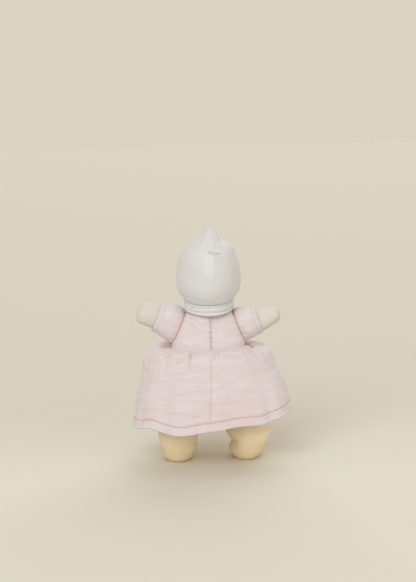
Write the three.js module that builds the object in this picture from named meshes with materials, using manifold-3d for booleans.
// A small baby doll: a hollow rubber head in a peaked jersey bonnet, a stuffed jersey body with jointed
// arms and legs, and a muslin dress with raglan sleeves, a back placket and a gathered skirt.
// Millimetres, +Z up. The doll stands on z = 0, faces -Y, and its own left side is +X.
import * as THREE from "three";
import { mergeVertices } from "three/addons/utils/BufferGeometryUtils.js";
import Module from "manifold-3d";

const wasm = await Module();
wasm.setup();

// Cloth and rubber thicknesses, and the play between layers.
const SKIN = 1.0; // jersey of the body
const CLOTH = 1.2; // double muslin of the dress and jersey of the bonnet
const RUBBER = 2.4; // wall of the head
const FIT = 0.35; // gap between one layer and the next
const EASE = 0.6; // gap between the body and the bodice
const SEAM = 0.3; // gap between two pieces that are sewn edge to edge
const TURN_PLAY = 0.45; // gap round a part that turns

// Heights, from the floor up: each stretch is a length of its own.
const HIP_HEIGHT = 82; // floor to the axis that the legs swing on
const WAIST_ABOVE_HIP = 42;
const SHOULDER_ABOVE_WAIST = 21;
const TIE_ABOVE_SHOULDER = 16.5;
const NECK_BELOW_TIE = 11.5; // the neck's open end lies this far inside the body
const NECKLINE_BELOW_TIE = 5.5; // upper edge of the bodice
const COLLAR_ABOVE_TIE = 2.5; // top of the body skin, gathered round the neck
const BONNET_ABOVE_TIE = 9.5; // lower edge of the bonnet's panels
const HEAD_ABOVE_TIE = 36.5; // where the head is widest
const PEAK_RISE = 52; // from there to the bonnet's peak
const CROWN_RISE = 40.3; // and to the top of the skull
const JAW_DROP = 32; // and down to under the jaw

const WAIST = HIP_HEIGHT + WAIST_ABOVE_HIP;
const SHOULDER_HEIGHT = WAIST + SHOULDER_ABOVE_WAIST;
const TIE_HEIGHT = SHOULDER_HEIGHT + TIE_ABOVE_SHOULDER;
const NECK_FOOT = TIE_HEIGHT - NECK_BELOW_TIE;
const NECKLINE = TIE_HEIGHT - NECKLINE_BELOW_TIE;
const COLLAR_TOP = TIE_HEIGHT + COLLAR_ABOVE_TIE;
const BONNET_FOOT = TIE_HEIGHT + BONNET_ABOVE_TIE;
const HEAD_MIDDLE = TIE_HEIGHT + HEAD_ABOVE_TIE;
const BONNET_PEAK = HEAD_MIDDLE + PEAK_RISE;

// Head and neck.
const HEAD_HALF_WIDTH = 32.2;
const HEAD_HALF_DEPTH = 33;
const JAW_FULLNESS = 2.6; // 2 is an ellipse, more is fuller in the cheeks
const NECK_R = 15;
const TIE_THICK = 1.7;
const TIE_GROOVE = 0.7; // depth of the groove in the neck
const GROOVE_HALF_HEIGHT = 3.2;

// Bonnet.
const PEAK_LEAN = 6.5; // the peak lies this far behind the head's middle
const FACE_EDGE_AT_CHIN = 12; // how far the face opening's edge lies in front of the head's middle
const FACE_EDGE_AT_BROW = 29;
const BROW_RISE = 26; // from the widest place to the forehead, where the second of these is taken
const FACE_BINDING_WIDTH = 3;
const FACE_BINDING_PROUD = 0.6;
const BAND_R = 26; // outside of the neck band
const BAND_THICK = 2.4;
const BAND_HEIGHT = 8.2; // mean height of the band
const BAND_DIP = 4.3; // its lower edge is this much lower at the nape, higher at the chin

// Shoulders and arms.
const SHOULDER_SPREAD = 34.5; // each shoulder's distance from the middle
const SHOULDER_R = 14.5; // ball end of the stuffed arm
const LEFT_ARM_LENGTH = 45; // shoulder centre to fingertips
const RIGHT_ARM_LENGTH = 42;
const WRIST_R = 12;
const LEFT_HAND_HALF_HEIGHT = 12.4;
const RIGHT_HAND_HALF_HEIGHT = 10; // the right hand is stuffed slimmer
const HAND_HALF_DEPTH = 11.2;
const ARM_FLATTEN = 0.9; // depth of the arm against its height
const LEFT_ARM_RAISE = 22; // degrees above level
const RIGHT_ARM_RAISE = 12;
const LEFT_SLEEVE_LENGTH = 23.5; // shoulder centre to the sleeve's open end
const RIGHT_SLEEVE_LENGTH = 19.5; // the right sleeve has slipped up a little
const SLEEVE_INSIDE = 11; // how far the sleeve reaches inwards past the shoulder centre

// Body and seat.
const BODY_HALF_WIDTH = 38.4;
const BODY_HALF_DEPTH = 26;
const SEAT_DROP = 42; // how far the seat hangs down between the legs
const SEAT_HALF_DEPTH = 20;

// Hips and legs.
const HIP_SPREAD = 36.5; // each leg's distance from the middle
const HIP_R = 20.5; // ball end of the stuffed leg
const THIGH_R = 21.4;
const FOOT_HEIGHT = 26; // floor to ankle
const FOOT_HALF_WIDTH = 18;
const FOOT_HALF_LENGTH = 22.6;
const FOOT_FORWARD = 4.5; // how far the foot's middle lies in front of the leg's
const SOLE_HALF_WIDTH = 11.5;
const SOLE_HALF_LENGTH = 16.5;
const HIP_CORD_R = 1.3;
const HIP_KNOT_R = 3.2;
const KNOT_PAST_HIP = 7.5; // each knot lies this far outside the middle of its leg

// Dress.
const NECK_BINDING_HEIGHT = 2.7;
const NECK_BINDING_THICK = 2.2;
const PLACKET_EDGE = 0.5; // the left back's edge lies on top, this far past the middle of the back
const PLACKET_LAP = 8.5; // and the right back reaches this far under it
const PLACKET_MARGIN = 2; // the left back stays raised this far past the lap
const PLACKET_FADE = 10; // and comes down to the body again over this width
const STRIP_THICK = 0.8; // hook strip and loop strip
const STRIP_HALF_WIDTH = 3.6;
const STRIP_END_MARGIN = 3; // from the strips' ends to the waist and the neckline
const SKIRT_DROP = 77.5; // waist seam to the hem at the side seams
const HEM_HALF_WIDTH = 84;
const HEM_HALF_DEPTH = 53;
const HEM_LIFT = 7.8; // the hem rises by this on the right and falls by it on the left
const HEM_DIP = 5; // the hem hangs this much lower at the middle of the back and front
const PUFF_DROP = 13; // waist seam to where the gathers have puffed out
const PUFF_HALF_WIDTH = 69.5;
const PUFF_HALF_DEPTH = 41;
const SKIRT_FOLDS = 13; // soft folds round the hem
const SKIRT_FOLD_DEPTH = 1.7;

// Colours as seen in even light.
const FINISH = {
  rubber: { color: 0xeec9ae, roughness: 0.55 },
  jersey: { color: 0xe6d9bd, roughness: 0.95 },
  filling: { color: 0xf4f1ea, roughness: 1.0 },
  bonnet: { color: 0xe9e7e3, roughness: 0.95 },
  muslin: { color: 0xeed6d2, roughness: 0.95 },
  cord: { color: 0xd8cdb8, roughness: 0.9 },
  strip: { color: 0xf0dcd8, roughness: 0.8 },
};
const FAR = 400; // a size past every edge of the doll
const CUT_PAST = 5; // how far a cut runs past what it opens

// Facets round each form; what lies inside a form has half as many, on the same corners.
const HEAD_FACETS = 32;
const BONNET_FACETS = 24;
const TORSO_FACETS = 20;
const BODICE_FACETS = 28;
const ARM_FACETS = 14;
const LEG_FACETS = 16;
const RING_FACETS = 20;
const SOCKET_FACETS = 16;
const CORD_FACETS = 8;

const SHOULDER = new THREE.Vector3(SHOULDER_SPREAD, 0, SHOULDER_HEIGHT);
const HIP = new THREE.Vector3(HIP_SPREAD, 0, HIP_HEIGHT);
const HIP_CORD_REACH = HIP_SPREAD + KNOT_PAST_HIP;
const { lerp } = THREE.MathUtils;

const doll = new THREE.Group();

function addPiece(parent, name, shape, finish) {
  const geometry = shape.isBufferGeometry ? shape : geometryOf(shape);
  const material = new THREE.MeshStandardMaterial({ ...FINISH[finish], metalness: 0 });
  const mesh = new THREE.Mesh(geometry, material);
  mesh.name = name;
  parent.add(mesh);
}

// Solids: a closed geometry as a manifold-3d solid, and back.
function solidOf(geometry) {
  const bare = geometry.clone();
  bare.deleteAttribute("normal");
  bare.deleteAttribute("uv");
  const merged = mergeVertices(bare, 1e-4);
  return new wasm.Manifold(
    new wasm.Mesh({
      numProp: 3,
      vertProperties: merged.attributes.position.array,
      triVerts: new Uint32Array(merged.index.array),
    }),
  );
}

function geometryOf(solid) {
  const { vertProperties, triVerts } = solid.getMesh();
  const geometry = new THREE.BufferGeometry();
  geometry.setAttribute("position", new THREE.BufferAttribute(vertProperties, 3));
  geometry.setIndex(new THREE.BufferAttribute(triVerts, 1));
  geometry.computeVertexNormals();
  return geometry;
}

function block(low, high) {
  const size = high.clone().sub(low);
  const middle = high.clone().add(low).divideScalar(2);
  return solidOf(new THREE.BoxGeometry(...size).translate(...middle));
}

function xRange(low, high) {
  return block(new THREE.Vector3(low, -FAR, -FAR), new THREE.Vector3(high, FAR, FAR));
}

function yRange(low, high) {
  return block(new THREE.Vector3(-FAR, low, -FAR), new THREE.Vector3(FAR, high, FAR));
}

function zRange(low, high) {
  return block(new THREE.Vector3(-FAR, -FAR, low), new THREE.Vector3(FAR, FAR, high));
}

// Everything from a plane onwards, up to a depth, along the plane's normal.
function beyond(point, normal, depth) {
  const slab = new THREE.BoxGeometry(FAR, FAR, depth).translate(0, 0, depth / 2);
  slab.applyQuaternion(new THREE.Quaternion().setFromUnitVectors(new THREE.Vector3(0, 0, 1), normal));
  return solidOf(slab.translate(...point));
}

function ball(centre, radius, facets) {
  return solidOf(new THREE.SphereGeometry(radius, facets, Math.round(facets / 2)).translate(...centre));
}

// Room for a ball to turn in. A faceted ball lies inside its radius, so this one is drawn round its own.
function ballRoom(centre, radius, facets) {
  return ball(centre, radius / Math.cos(Math.PI / facets) ** 2, facets);
}

// A closed mesh from rows of points. Rows that wrap are joined end to end, and the first and last
// row are closed by a fan unless the rows themselves run round to the start.
function meshFromRows(rows, rowsRunRound) {
  const columns = rows[0].length;
  const points = rows.flat();
  const faces = [];
  const rowCount = rowsRunRound ? rows.length : rows.length - 1;
  for (let i = 0; i < rowCount; i++) {
    for (let j = 0; j < columns; j++) {
      const next = (j + 1) % columns;
      const low = i * columns;
      const high = ((i + 1) % rows.length) * columns;
      faces.push(low + j, low + next, high + next, low + j, high + next, high + j);
    }
  }
  if (!rowsRunRound) {
    const closeEnd = (row, offset, turned) => {
      const middle = row.reduce((sum, p) => sum.add(p), new THREE.Vector3()).divideScalar(columns);
      const centre = points.push(middle) - 1;
      for (let j = 0; j < columns; j++) {
        const next = (j + 1) % columns;
        faces.push(centre, offset + (turned ? next : j), offset + (turned ? j : next));
      }
    };
    closeEnd(rows[0], 0, true);
    closeEnd(rows.at(-1), (rows.length - 1) * columns, false);
  }
  const geometry = new THREE.BufferGeometry().setFromPoints(points);
  geometry.setIndex(faces);
  return geometry;
}

// Stuffed forms are stacks of oval rings: [height, half width, half depth, shift along Y].
function smoothed(sections, steps) {
  const places = sections.map((_, i) => i);
  const curve = new THREE.CubicInterpolant(places, sections.flat(), sections[0].length);
  const last = sections.length - 1;
  return Array.from({ length: steps + 1 }, (_, i) => [...curve.evaluate((i * last) / steps)]);
}

// The same stack, grown outwards along its profile's normal, or drawn in where the distance is negative.
function grown(sections, distance) {
  const thinnest = 0.4;
  return sections.map(([height, width, depth, shift], i) => {
    const before = sections[Math.max(i - 1, 0)];
    const after = sections[Math.min(i + 1, sections.length - 1)];
    const normal = new THREE.Vector2(after[0] - before[0], before[1] - after[1]).normalize();
    return [
      height + distance * normal.y,
      Math.max(width + distance * normal.x, thinnest),
      Math.max(depth + distance * normal.x, thinnest),
      shift,
    ];
  });
}

function stack(sections, columns, reshape = (point) => point) {
  const rows = sections.map(([height, width, depth, shift]) =>
    Array.from({ length: columns }, (_, j) => {
      const angle = (2 * Math.PI * j) / columns;
      return reshape(
        new THREE.Vector3(width * Math.cos(angle), shift + depth * Math.sin(angle), height),
      );
    }),
  );
  return solidOf(meshFromRows(rows, false));
}

// The half-round end of a limb, from its pole to its middle, as sections.
function ballEnd(radius, middle, steps) {
  const fromPole = THREE.MathUtils.degToRad(14);
  return Array.from({ length: steps }, (_, i) => {
    const angle = lerp(fromPole, Math.PI / 2, i / (steps - 1));
    return [middle - radius * Math.cos(angle), radius * Math.sin(angle), radius * Math.sin(angle), 0];
  });
}

// A band or ring: a closed outline in radius and height, carried round the upright axis.
function ring(outlineAt, columns) {
  const rows = Array.from({ length: columns }, (_, j) => {
    const angle = (2 * Math.PI * j) / columns;
    return outlineAt(angle).map(
      ([radius, height]) =>
        new THREE.Vector3(radius * Math.cos(angle), radius * Math.sin(angle), height),
    );
  });
  return meshFromRows(rows, true);
}

// A band's section, rounded on its outer corners.
function roundedBand(innerR, outerR, low, high) {
  const round = Math.min(outerR - innerR, high - low) * 0.3;
  return [
    [innerR, low],
    [innerR, high],
    [outerR - round, high],
    [outerR, high - round],
    [outerR, low + round],
    [outerR - round, low],
  ];
}

// Head: a rubber shell with an open neck and a soft, plain baby face.
function jawSection(share) {
  const width = (1 - share ** JAW_FULLNESS) ** (1 / JAW_FULLNESS);
  return [HEAD_MIDDLE - share * JAW_DROP, HEAD_HALF_WIDTH * width, HEAD_HALF_DEPTH * width, 0];
}

function crownSection(share) {
  const angle = (share * Math.PI) / 2;
  const width = Math.cos(angle);
  return [HEAD_MIDDLE + CROWN_RISE * Math.sin(angle), HEAD_HALF_WIDTH * width, HEAD_HALF_DEPTH * width, 0];
}

const headSections = [
  [NECK_FOOT, NECK_R, NECK_R, 0],
  [TIE_HEIGHT - GROOVE_HALF_HEIGHT, NECK_R, NECK_R, 0],
  [TIE_HEIGHT, NECK_R - TIE_GROOVE, NECK_R - TIE_GROOVE, 0],
  [TIE_HEIGHT + GROOVE_HALF_HEIGHT, NECK_R, NECK_R, 0],
  ...[0.93, 0.84, 0.75, 0.68, 0.61, 0.55, 0.49, 0.42, 0.35, 0.27, 0.18, 0.09, 0].map(jawSection),
  ...[0.09, 0.2, 0.31, 0.42, 0.54, 0.66, 0.78, 0.9, 0.97].map(crownSection),
];
// Soft swellings and hollows of the face: [side, rise from the middle, how far out, half width, half height].
const FACE_FORMS = [
  [0, -7, 3.8, 3.2, 3.2], // nose
  [14, -14, 1.8, 7, 6.5], // cheeks, here and mirrored
  [-14, -14, 1.8, 7, 6.5],
  [0, -23, 2.2, 5.5, 3.6], // chin
  [0, -14.4, 1.3, 4.4, 1.6], // upper lip
  [0, -18.4, 1.3, 3.6, 1.6], // lower lip
  [11, -0.5, -1.6, 4.8, 3.4], // eye hollows
  [-11, -0.5, -1.6, 4.8, 3.4],
  [0, 14, 0.9, 13, 8], // forehead
];

function faceForm(point) {
  if (point.y > 0) return point;
  const out = FACE_FORMS.reduce((sum, [side, rise, far, width, tall]) => {
    const across = (point.x - side) / width;
    const up = (point.z - HEAD_MIDDLE - rise) / tall;
    return sum + far * Math.exp(-(across * across + up * up) / 2);
  }, 0);
  return point.setY(point.y - out);
}

// Ring points are drawn towards the front, where the face needs them.
const FRONT_CROWDING = 0.32;

function crowdFront(point) {
  const angle = Math.atan2(point.x, -point.y);
  return point.applyAxisAngle(new THREE.Vector3(0, 0, 1), -FRONT_CROWDING * Math.sin(angle));
}

function makeHead(parent) {
  const outside = solidOf(
    meshFromRows(
      headSections.map(([height, width, depth, shift]) =>
        Array.from({ length: HEAD_FACETS }, (_, j) => {
          const angle = (2 * Math.PI * j) / HEAD_FACETS;
          const turn = crowdFront(new THREE.Vector3(Math.cos(angle), Math.sin(angle), 0));
          return faceForm(new THREE.Vector3(width * turn.x, shift + depth * turn.y, height));
        }),
      ),
      false,
    ),
  );
  const hollowSections = grown(headSections.filter((_, i) => i % 2 === 0), -RUBBER);
  const neckBore = solidOf(
    new THREE.CylinderGeometry(NECK_R - RUBBER, NECK_R - RUBBER, 2 * (RUBBER + CUT_PAST), HEAD_FACETS / 2)
      .rotateX(Math.PI / 2)
      .translate(0, 0, NECK_FOOT),
  );
  const shell = outside.subtract(stack(hollowSections, HEAD_FACETS / 2)).subtract(neckBore);
  addPiece(parent, "head_shell", shell, "rubber");
}

// Bonnet: two panels sewn over the crown and down the nape, a binding round the face and a neck band.
const BONNET_HALF_WIDTH = HEAD_HALF_WIDTH + EASE + CLOTH;
const BONNET_HALF_DEPTH = HEAD_HALF_DEPTH + EASE + CLOTH;

// Below the widest place the bonnet draws in to the neck band.
function bonnetSide(share) {
  const drawnIn = share ** 3;
  return [
    lerp(HEAD_MIDDLE, BONNET_FOOT, share),
    lerp(BONNET_HALF_WIDTH, BAND_R, drawnIn),
    lerp(BONNET_HALF_DEPTH, BAND_R, drawnIn),
    0,
  ];
}

// Above it, the sides round in and then run up to the peak: [share of the rise, of the width, of the depth].
const PEAK_FORM = [
  [0.19, 0.97, 0.978],
  [0.365, 0.908, 0.928],
  [0.52, 0.8, 0.84],
  [0.644, 0.647, 0.73],
  [0.76, 0.424, 0.575],
  [0.865, 0.247, 0.37],
  [0.952, 0.118, 0.185],
  [1, 0.035, 0.046],
];
const bonnetSections = [
  ...[1, 0.84, 0.66, 0.45, 0.2, 0].map(bonnetSide),
  ...PEAK_FORM.map(([rise, width, depth]) => [
    lerp(HEAD_MIDDLE, BONNET_PEAK, rise),
    BONNET_HALF_WIDTH * width,
    BONNET_HALF_DEPTH * depth,
    PEAK_LEAN * rise ** 3,
  ]),
];

function makeBonnet(parent) {
  const columns = BONNET_FACETS;
  const edgeAtChin = new THREE.Vector3(0, -FACE_EDGE_AT_CHIN, BONNET_FOOT);
  const edgeAtBrow = new THREE.Vector3(0, -FACE_EDGE_AT_BROW, HEAD_MIDDLE + BROW_RISE);
  const faceNormal = edgeAtBrow.clone().sub(edgeAtChin).cross(new THREE.Vector3(-1, 0, 0)).normalize();
  const belowFoot = zRange(-FAR, BONNET_FOOT + SEAM);
  const mouthR = BAND_R - CLOTH;
  const mouth = [-CUT_PAST, 2 * CLOTH].map((rise) => [BONNET_FOOT + rise, mouthR, mouthR, 0]);
  const inside = stack(grown(bonnetSections, -CLOTH), columns).add(stack(mouth, columns));
  const hood = stack(bonnetSections, columns).subtract(inside).subtract(belowFoot)
    .subtract(beyond(edgeAtChin, faceNormal, FAR));
  addPiece(parent, "bonnet_left_panel", hood.intersect(xRange(SEAM / 2, FAR)), "bonnet");
  addPiece(parent, "bonnet_right_panel", hood.intersect(xRange(-FAR, -SEAM / 2)), "bonnet");

  const edgeStart = edgeAtChin.clone().addScaledVector(faceNormal, SEAM);
  const binding = stack(grown(bonnetSections, FACE_BINDING_PROUD), columns)
    .subtract(inside)
    .subtract(belowFoot)
    .intersect(beyond(edgeStart, faceNormal, FACE_BINDING_WIDTH));
  addPiece(parent, "bonnet_face_binding", binding, "bonnet");

  const bandOutline = (angle) =>
    roundedBand(
      BAND_R - BAND_THICK,
      BAND_R,
      BONNET_FOOT - BAND_HEIGHT - BAND_DIP * Math.sin(angle),
      BONNET_FOOT,
    );
  addPiece(parent, "bonnet_neck_band", ring(bandOutline, RING_FACETS), "bonnet");
}

// Body: a stuffed bag with a collar for the neck, sockets for the arms and a seat between the legs.
const COLLAR_R = NECK_R + TURN_PLAY + SKIN;
const SHELF = HIP.z + HIP_R + TURN_PLAY; // underside of the body, just over the legs
const SEAT_HALF_WIDTH = HIP.x - THIGH_R - TURN_PLAY;
const BELLY = SHELF + 8; // height where the body is widest
const torsoSections = smoothed(
  [
    [SHELF - SEAT_DROP, 4, 5, 0],
    [SHELF - 0.93 * SEAT_DROP, SEAT_HALF_WIDTH - 4, SEAT_HALF_DEPTH - 9, 0],
    [SHELF - 0.74 * SEAT_DROP, SEAT_HALF_WIDTH - 1, SEAT_HALF_DEPTH - 4, 0],
    [SHELF - 0.33 * SEAT_DROP, SEAT_HALF_WIDTH, SEAT_HALF_DEPTH - 1, 0],
    [SHELF - 0.4, SEAT_HALF_WIDTH + 0.4, SEAT_HALF_DEPTH, 0],
    [SHELF + 1, BODY_HALF_WIDTH - 11.4, BODY_HALF_DEPTH - 4, 0],
    [SHELF + 3, BODY_HALF_WIDTH - 2.4, BODY_HALF_DEPTH - 1.5, 0],
    [BELLY, BODY_HALF_WIDTH, BODY_HALF_DEPTH, 0],
    [lerp(BELLY, WAIST, 0.54), BODY_HALF_WIDTH - 0.4, BODY_HALF_DEPTH - 0.5, 0],
    [lerp(WAIST, SHOULDER.z, 0.31), BODY_HALF_WIDTH - 2.2, BODY_HALF_DEPTH - 3.4, 0],
    [lerp(WAIST, SHOULDER.z, 0.82), BODY_HALF_WIDTH - 5.9, BODY_HALF_DEPTH - 6.5, 0],
    [lerp(SHOULDER.z, NECKLINE, 0.28), COLLAR_R + 9, COLLAR_R + 1.4, 0],
    [lerp(SHOULDER.z, NECKLINE, 0.68), COLLAR_R + 1.2, COLLAR_R + 0.4, 0],
    [NECKLINE, COLLAR_R, COLLAR_R, 0],
    [COLLAR_TOP, COLLAR_R, COLLAR_R, 0],
  ],
  18,
);
const SHOULDERS = [SHOULDER, SHOULDER.clone().setX(-SHOULDER.x)];
const SLEEVE_BALL_R = SHOULDER_R + FIT + CLOTH;
const sockets = SHOULDERS.map((centre) => ballRoom(centre, SLEEVE_BALL_R + TURN_PLAY, SOCKET_FACETS));

function withoutSockets(solid) {
  return sockets.reduce((rest, socket) => rest.subtract(socket), solid);
}

function hipCordBore() {
  const radius = (HIP_CORD_R + SEAM) / Math.cos(Math.PI / CORD_FACETS);
  return solidOf(
    new THREE.CylinderGeometry(radius, radius, 2 * HIP_CORD_REACH, CORD_FACETS)
      .rotateZ(Math.PI / 2)
      .translate(0, HIP.y, HIP.z),
  );
}

function makeTorso(parent) {
  const columns = TORSO_FACETS;
  const bag = torsoSections.filter(([height]) => height < NECK_FOOT);
  const holeR = COLLAR_R - SKIN;
  const holeFoot = NECK_FOOT - SKIN;
  const holeDepth = COLLAR_TOP - holeFoot + CUT_PAST;
  const neckHole = solidOf(
    new THREE.CylinderGeometry(holeR, holeR, holeDepth, TORSO_FACETS)
      .rotateX(Math.PI / 2)
      .translate(0, 0, holeFoot + holeDepth / 2),
  );
  const skin = withoutSockets(
    stack(torsoSections, columns).subtract(stack(grown(bag, -SKIN), columns / 2)).subtract(neckHole),
  ).subtract(hipCordBore());
  addPiece(parent, "torso_skin_front", skin.intersect(yRange(-FAR, -SEAM / 2)), "jersey");
  addPiece(parent, "torso_skin_back", skin.intersect(yRange(SEAM / 2, FAR)), "jersey");

  const filling = withoutSockets(stack(grown(bag, -SKIN - FIT), columns / 2)).subtract(hipCordBore());
  addPiece(parent, "torso_filling", filling, "filling");

  const tieInner = COLLAR_R + SEAM;
  const tieFoot = TIE_HEIGHT - TIE_THICK / 2;
  const tieOutline = () => roundedBand(tieInner, tieInner + TIE_THICK, tieFoot, tieFoot + TIE_THICK);
  addPiece(parent, "neck_tie", ring(tieOutline, RING_FACETS), "cord");
}

// Dress bodice: a front and two backs over the body, lapped at the placket with hook and loop strips.
const PLACKET_RISE = CLOTH + 2 * STRIP_THICK + 3 * SEAM;

function placketRise(point) {
  if (point.y < 0) return point;
  const flat = PLACKET_LAP + PLACKET_MARGIN;
  const lowered = THREE.MathUtils.smoothstep(Math.abs(point.x), flat, flat + PLACKET_FADE);
  return point.setY(point.y + PLACKET_RISE * (1 - lowered));
}

function bodiceLayer(from, to, reshape) {
  const outside = stack(grown(torsoSections, to), BODICE_FACETS, reshape);
  const inside = stack(grown(torsoSections, from), BODICE_FACETS, reshape);
  return withoutSockets(outside.subtract(inside));
}

function makeBodice(parent) {
  const height = zRange(WAIST + SEAM, NECKLINE);
  const cloth = bodiceLayer(EASE, EASE + CLOTH).intersect(height);
  const raised = bodiceLayer(EASE, EASE + CLOTH, placketRise).intersect(height);
  const front = yRange(-FAR, -SEAM / 2);
  const back = yRange(SEAM / 2, FAR);
  addPiece(parent, "bodice_front", cloth.intersect(front), "muslin");
  const leftBack = raised.intersect(back).intersect(xRange(-PLACKET_EDGE, FAR));
  const rightBack = cloth.intersect(back).intersect(xRange(-FAR, PLACKET_LAP));
  addPiece(parent, "bodice_back_left", leftBack, "muslin");
  addPiece(parent, "bodice_back_right", rightBack, "muslin");

  const stripMiddle = (PLACKET_LAP - PLACKET_EDGE) / 2;
  const stripPlace = back
    .intersect(xRange(stripMiddle - STRIP_HALF_WIDTH, stripMiddle + STRIP_HALF_WIDTH))
    .intersect(zRange(WAIST + STRIP_END_MARGIN, NECKLINE - STRIP_END_MARGIN));
  const loopFrom = EASE + CLOTH + SEAM;
  const hookFrom = loopFrom + STRIP_THICK + SEAM;
  const strip = (from) => bodiceLayer(from, from + STRIP_THICK).intersect(stripPlace);
  addPiece(parent, "placket_loop_strip", strip(loopFrom), "strip");
  addPiece(parent, "placket_hook_strip", strip(hookFrom), "strip");

  const bindingInner = COLLAR_R + SEAM;
  const bindingFoot = NECKLINE + SEAM;
  const bindingOuter = bindingInner + NECK_BINDING_THICK;
  const bindingTop = bindingFoot + NECK_BINDING_HEIGHT;
  const bindingOutline = () => roundedBand(bindingInner, bindingOuter, bindingFoot, bindingTop);
  addPiece(parent, "neck_binding", ring(bindingOutline, RING_FACETS), "muslin");
}

// Dress skirt: a front and two backs, gathered at the waist, puffed over the hips and flared to the hem.
function sectionAt(sections, height) {
  const above = sections.findIndex((section) => section[0] > height);
  const [low, high] = [sections[above - 1], sections[above]];
  const share = (height - low[0]) / (high[0] - low[0]);
  return low.map((value, i) => lerp(value, high[i], share));
}

const [, waistWidth, waistDepth] = sectionAt(torsoSections, WAIST).map((size) => size + EASE + CLOTH);
const PUFF = WAIST - PUFF_DROP;
const HEM = WAIST - SKIRT_DROP;

// From the waist out to the puff, and from the puff down to the hem, by shares of each stretch.
function gatherSection(drop, out) {
  return [
    WAIST - drop * PUFF_DROP,
    lerp(waistWidth, PUFF_HALF_WIDTH, out),
    lerp(waistDepth, PUFF_HALF_DEPTH, out),
  ];
}

function flareSection(drop, out) {
  return [
    lerp(PUFF, HEM, drop),
    lerp(PUFF_HALF_WIDTH, HEM_HALF_WIDTH, out),
    lerp(PUFF_HALF_DEPTH, HEM_HALF_DEPTH, out),
  ];
}

const skirtOutline = new THREE.CubicInterpolant(
  [0, 0.05, 0.13, 0.22, 0.5, 0.78, 1],
  [
    gatherSection(0, 0),
    gatherSection(0.13, 0.45),
    gatherSection(0.42, 0.83),
    gatherSection(1, 1),
    flareSection(0.37, 0.36),
    flareSection(0.72, 0.76),
    flareSection(1, 1),
  ].flat(),
  3,
);

// A point of the skirt's outer face: angle from +X towards the back, and share of the way down.
function skirtPoint(angle, down) {
  const [height, width, depth] = skirtOutline.evaluate(down);
  const fold = 1 + (SKIRT_FOLD_DEPTH / HEM_HALF_DEPTH) * down * down * Math.cos(SKIRT_FOLDS * angle + 0.6);
  const side = Math.cos(angle);
  const toBack = Math.sin(angle);
  const fall = down * down * (HEM_LIFT * side + HEM_DIP * toBack * toBack);
  const sideFold = lerp(1, fold, toBack * toBack);
  return new THREE.Vector3(width * side * sideFold, depth * toBack * fold, height - fall);
}

// A closed sheet of even thickness: the outer face, the inner face behind it and the four edges between.
function thickSheet(pointAt, columns, rows, thickness) {
  const step = 1e-3;
  const grid = (inwards) =>
    Array.from({ length: (rows + 1) * (columns + 1) }, (_, k) => {
      const across = (k % (columns + 1)) / columns;
      const down = Math.floor(k / (columns + 1)) / rows;
      const alongAcross = pointAt(across + step, down).sub(pointAt(across - step, down));
      const lower = pointAt(across, Math.min(down + step, 1));
      const alongDown = lower.sub(pointAt(across, Math.max(down - step, 0)));
      const normal = alongDown.cross(alongAcross).normalize();
      return pointAt(across, down).addScaledVector(normal, -inwards);
    });
  const outer = grid(0);
  const points = [...outer, ...grid(thickness)];
  const faces = [];
  const quad = (a, b, c, d) => faces.push(a, b, c, a, c, d);
  const at = (i, j) => i * (columns + 1) + j;
  const behind = (i, j) => outer.length + at(i, j);
  for (let i = 0; i < rows; i++) {
    for (let j = 0; j < columns; j++) {
      quad(at(i, j), at(i + 1, j), at(i + 1, j + 1), at(i, j + 1));
      quad(behind(i, j), behind(i, j + 1), behind(i + 1, j + 1), behind(i + 1, j));
    }
    quad(at(i + 1, 0), at(i, 0), behind(i, 0), behind(i + 1, 0));
    quad(at(i, columns), at(i + 1, columns), behind(i + 1, columns), behind(i, columns));
  }
  for (let j = 0; j < columns; j++) {
    quad(at(0, j), at(0, j + 1), behind(0, j + 1), behind(0, j));
    quad(at(rows, j + 1), at(rows, j), behind(rows, j), behind(rows, j + 1));
  }
  const geometry = new THREE.BufferGeometry().setFromPoints(points);
  geometry.setIndex(faces);
  return geometry;
}

function makeSkirt(parent) {
  const seamAngle = SEAM / 2 / PUFF_HALF_DEPTH;
  const panel = (name, from, to, columns) => {
    const pointAt = (across, down) =>
      skirtPoint(lerp(from + seamAngle, to - seamAngle, across), down);
    addPiece(parent, name, thickSheet(pointAt, columns, 7, CLOTH), "muslin");
  };
  panel("skirt_back_left", 0, Math.PI / 2, 16);
  panel("skirt_back_right", Math.PI / 2, Math.PI, 16);
  panel("skirt_front", Math.PI, 2 * Math.PI, 32);
}

// Arms: a stuffed skin in two halves with a ball end at the shoulder, and the dress sleeve over it.
const ARMS = {
  left: {
    raise: LEFT_ARM_RAISE,
    length: LEFT_ARM_LENGTH,
    handHalfHeight: LEFT_HAND_HALF_HEIGHT,
    sleeveLength: LEFT_SLEEVE_LENGTH,
  },
  right: {
    raise: RIGHT_ARM_RAISE,
    length: RIGHT_ARM_LENGTH,
    handHalfHeight: RIGHT_HAND_HALF_HEIGHT,
    sleeveLength: RIGHT_SLEEVE_LENGTH,
  },
};

function armSections({ length, handHalfHeight, sleeveLength }) {
  const hand = (fromTip, share) => [length - fromTip, share * handHalfHeight, share * HAND_HALF_DEPTH, 0];
  const sections = [
    ...ballEnd(SHOULDER_R, 0, 5),
    [0.5 * SHOULDER_R, SHOULDER_R - 0.9, SHOULDER_R - 1.3, 0],
    [SHOULDER_R + 1.5, WRIST_R + 0.5, (WRIST_R + 0.5) * ARM_FLATTEN, 0],
    [sleeveLength + 2, lerp(WRIST_R, handHalfHeight, 0.3), WRIST_R * ARM_FLATTEN, 0],
    hand(11, 1),
    hand(4.5, 0.85),
    hand(1.2, 0.56),
    hand(0, 0.2),
  ];
  return smoothed(sections, 11);
}

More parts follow.
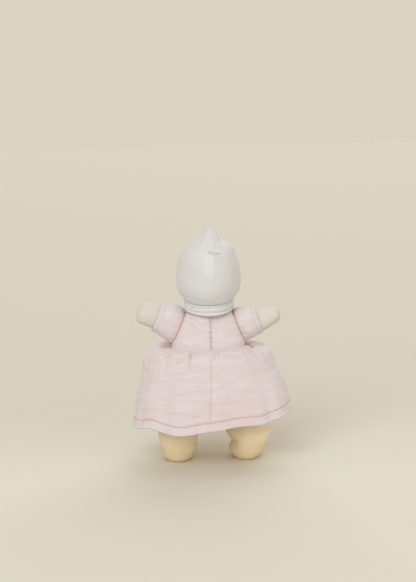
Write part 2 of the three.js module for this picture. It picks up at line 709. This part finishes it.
function makeArm(parent, side) {
  const { raise, sleeveLength } = ARMS[side];
  const sections = armSections(ARMS[side]);
  const columns = ARM_FACETS;
  const away = side === "left" ? 1 : -1;
  const arm = new THREE.Group();
  arm.position.copy(SHOULDER).setX(away * SHOULDER.x);
  arm.rotation.y = away * THREE.MathUtils.degToRad(90 - raise);
  parent.add(arm);

  const skin = stack(sections, columns).subtract(stack(grown(sections, -SKIN), columns / 2));
  addPiece(arm, `${side}_arm_skin_front`, skin.intersect(yRange(-FAR, -SEAM / 2)), "jersey");
  addPiece(arm, `${side}_arm_skin_back`, skin.intersect(yRange(SEAM / 2, FAR)), "jersey");
  addPiece(arm, `${side}_arm_filling`, stack(grown(sections, -SKIN - FIT), columns / 2), "filling");

  const sleeve = stack(grown(sections, FIT + CLOTH), columns)
    .subtract(stack(grown(sections, FIT), columns))
    .intersect(zRange(-SLEEVE_INSIDE, sleeveLength));
  addPiece(arm, `${side}_sleeve`, sleeve, "muslin");
}

// Legs: a stuffed skin in two halves, round at the hip, with a flat sole to stand on.
const legSections = smoothed(
  [
    [0, SOLE_HALF_WIDTH, SOLE_HALF_LENGTH, -FOOT_FORWARD],
    [0.115 * FOOT_HEIGHT, lerp(SOLE_HALF_WIDTH, FOOT_HALF_WIDTH, 0.6), FOOT_HALF_LENGTH - 2, -FOOT_FORWARD],
    [0.35 * FOOT_HEIGHT, FOOT_HALF_WIDTH, FOOT_HALF_LENGTH, -FOOT_FORWARD],
    [0.65 * FOOT_HEIGHT, FOOT_HALF_WIDTH + 1.2, FOOT_HALF_LENGTH - 1, -0.65 * FOOT_FORWARD],
    [FOOT_HEIGHT, THIGH_R - 1.4, HIP_R - 0.2, -0.2 * FOOT_FORWARD],
    [lerp(FOOT_HEIGHT, HIP.z, 0.21), THIGH_R - 0.4, HIP_R - 0.5, 0],
    [lerp(FOOT_HEIGHT, HIP.z, 0.57), THIGH_R, HIP_R - 0.3, 0],
    [lerp(FOOT_HEIGHT, HIP.z, 0.82), THIGH_R - 0.3, HIP_R - 0.1, 0],
    ...ballEnd(HIP_R, 0, 5).reverse().map(([height, width, depth]) => [HIP.z - height, width, depth, 0]),
  ],
  13,
);

function makeLeg(parent, side) {
  const columns = LEG_FACETS;
  const away = side === "left" ? 1 : -1;
  const leg = new THREE.Group();
  leg.position.set(away * HIP.x, 0, 0);
  parent.add(leg);
  const knotPlace = new THREE.Vector3(away * HIP_CORD_REACH, 0, HIP.z);
  const knotRoom = ballRoom(knotPlace, HIP_KNOT_R + SEAM, CORD_FACETS);
  const bore = hipCordBore().add(knotRoom).translate([-away * HIP.x, 0, 0]);

  const inside = stack(grown(legSections, -SKIN), columns / 2);
  const skin = stack(legSections, columns).subtract(inside).subtract(bore);
  addPiece(leg, `${side}_leg_skin_front`, skin.intersect(yRange(-FAR, -SEAM / 2)), "jersey");
  addPiece(leg, `${side}_leg_skin_back`, skin.intersect(yRange(SEAM / 2, FAR)), "jersey");
  const filling = stack(grown(legSections, -SKIN - FIT), columns / 2).subtract(bore);
  addPiece(leg, `${side}_leg_filling`, filling, "filling");
}

// The cord through the seat that both legs hang and turn on, with a knot inside each thigh.
function makeHipCord(parent) {
  const rod = solidOf(
    new THREE.CylinderGeometry(HIP_CORD_R, HIP_CORD_R, 2 * HIP_CORD_REACH, CORD_FACETS)
      .rotateZ(Math.PI / 2)
      .translate(0, HIP.y, HIP.z),
  );
  const knot = (away) => ball(new THREE.Vector3(away * HIP_CORD_REACH, 0, HIP.z), HIP_KNOT_R, CORD_FACETS);
  addPiece(parent, "hip_cord", rod.add(knot(1)).add(knot(-1)), "cord");
}

makeHead(doll);
makeBonnet(doll);
makeTorso(doll);
makeBodice(doll);
makeSkirt(doll);
makeArm(doll, "left");
makeArm(doll, "right");
makeLeg(doll, "left");
makeLeg(doll, "right");
makeHipCord(doll);

export default doll;
